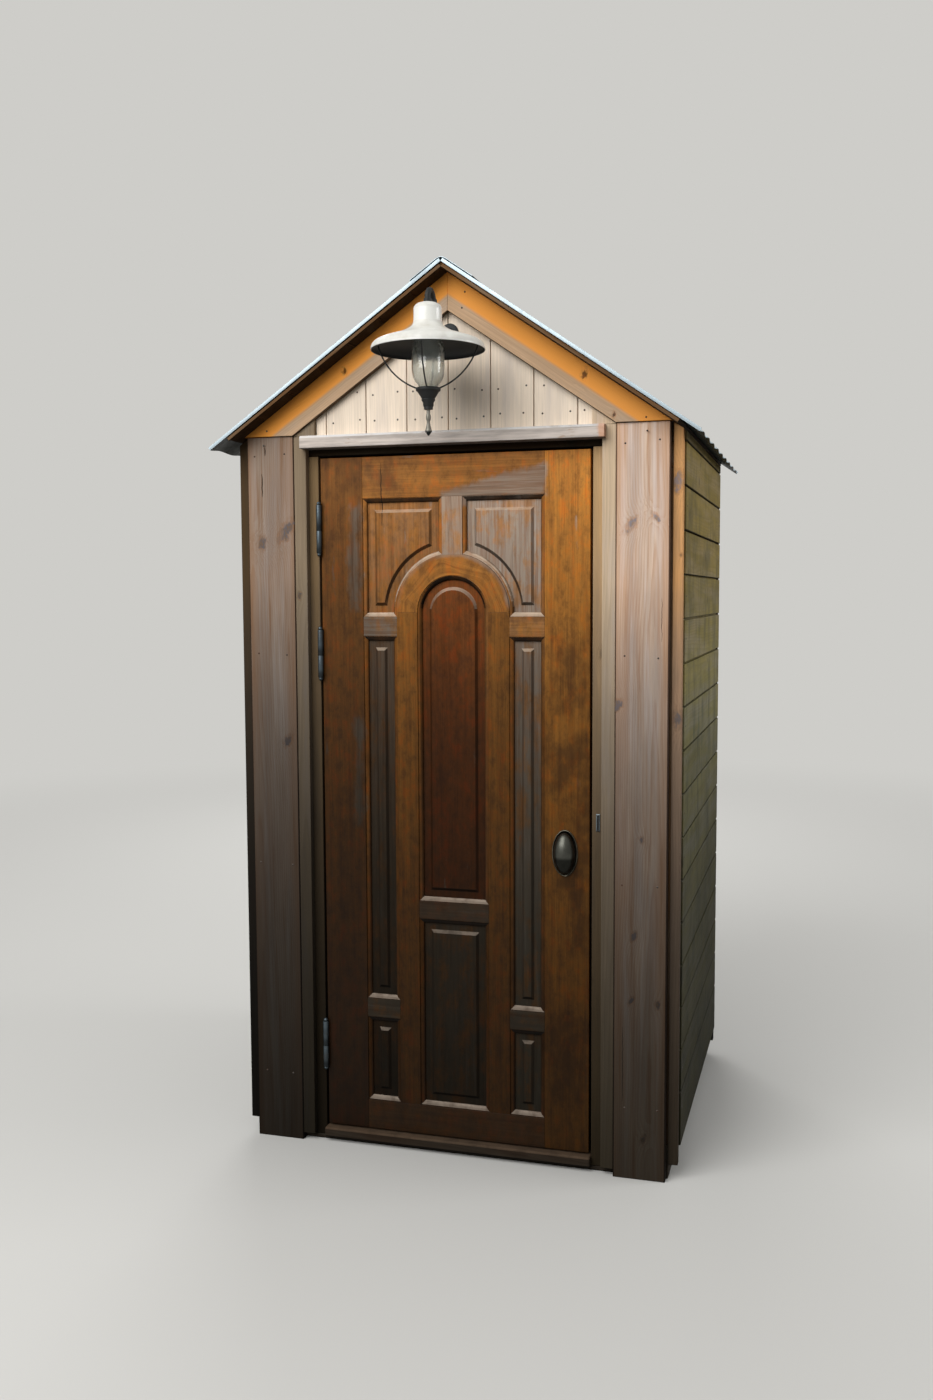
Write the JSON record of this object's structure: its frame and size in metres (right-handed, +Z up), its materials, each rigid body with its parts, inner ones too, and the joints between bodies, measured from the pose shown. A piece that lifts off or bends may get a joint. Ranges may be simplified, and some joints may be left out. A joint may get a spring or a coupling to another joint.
{
  "type": "wooden outhouse",
  "caption": "Small gabled timber outhouse with a hinged raised-panel door under a round arch, plank walls, a corrugated roof and a lantern hung over the door.",
  "frame": {"origin": "on the ground, under the middle of the cabin from the front boards to the rear planks", "axes": "+Z up, -Y out of the front with the door, +X to the right of someone facing the door"},
  "size_m": [1.4216, 1.53, 2.5784],
  "materials": {
    "ground_timber": "damp dark timber",
    "floor_boards": "bare boards",
    "threshold_wood": "worn, dirty timber",
    "framing": "sawn timber",
    "jamb_wood": "bare planed timber",
    "front_boards": "weathered bare boards",
    "drip_board_paint": "worn pale paint",
    "gable_boards": "pale bare boards",
    "barge_boards": "orange stain, bare at the ends",
    "wall_planks": "olive-grey stain",
    "corner_wood": "bare timber",
    "roof_boards": "brown boards",
    "roof_sheet": "dull pale corrugated sheet",
    "hinge_steel": "dark blue-grey",
    "lantern_enamel": "white enamel, dark underneath",
    "lantern_dark": "black, worn to grey",
    "lantern_glass": "clear glass",
    "door_varnish": "weathered varnish",
    "knob_bronze": "aged dark bronze"
  },
  "bodies": {
    "cabin": {"side_sills": "ground_timber", "rear_sill": "ground_timber", "front_sill": "ground_timber", "floor_bearers": "ground_timber", "floor_deck": "floor_boards", "threshold": "threshold_wood", "corner_posts": "framing", "wall_plates": "framing", "rear_tie_beam": "framing", "left_jamb": "jamb_wood", "right_jamb": "jamb_wood", "frame_head": "framing", "left_front_board": "front_boards", "right_front_board": "front_boards", "left_casing": "front_boards", "right_casing": "front_boards", "drip_board": "drip_board_paint", "front_gable": "gable_boards", "front_barge_boards": "barge_boards", "left_wall": "wall_planks", "right_wall": "wall_planks", "rear_wall": "wall_planks", "corner_strips": "corner_wood", "rear_barge_boards": "barge_boards", "ridge_beam": "framing", "rafters": "framing", "left_roof_boards": "roof_boards", "right_roof_boards": "roof_boards", "left_roof_sheet": "roof_sheet", "right_roof_sheet": "roof_sheet", "ridge_cap": "roof_sheet", "frame_hinges": "hinge_steel", "lantern_arm": "lantern_dark", "lantern_shade": "lantern_enamel", "lantern_glass": "lantern_glass", "lantern_frame": "lantern_dark"},
    "door": {"door_hinge_stile": "door_varnish", "door_lock_stile": "door_varnish", "door_rails": "door_varnish", "door_inner_stiles": "door_varnish", "door_arch": "door_varnish", "door_blocks": "door_varnish", "door_panels": "door_varnish", "door_mouldings": "door_varnish", "door_hinges": "hinge_steel", "door_knob": "knob_bronze"}
  },
  "joints": [
    {"name": "door_hinge", "type": "hinge", "parent": "cabin", "child": "door", "pos_m": [-0.4035, -0.547, 1.05], "axis": [0, 0, 1], "range_deg": [-110, 0]}
  ]
}
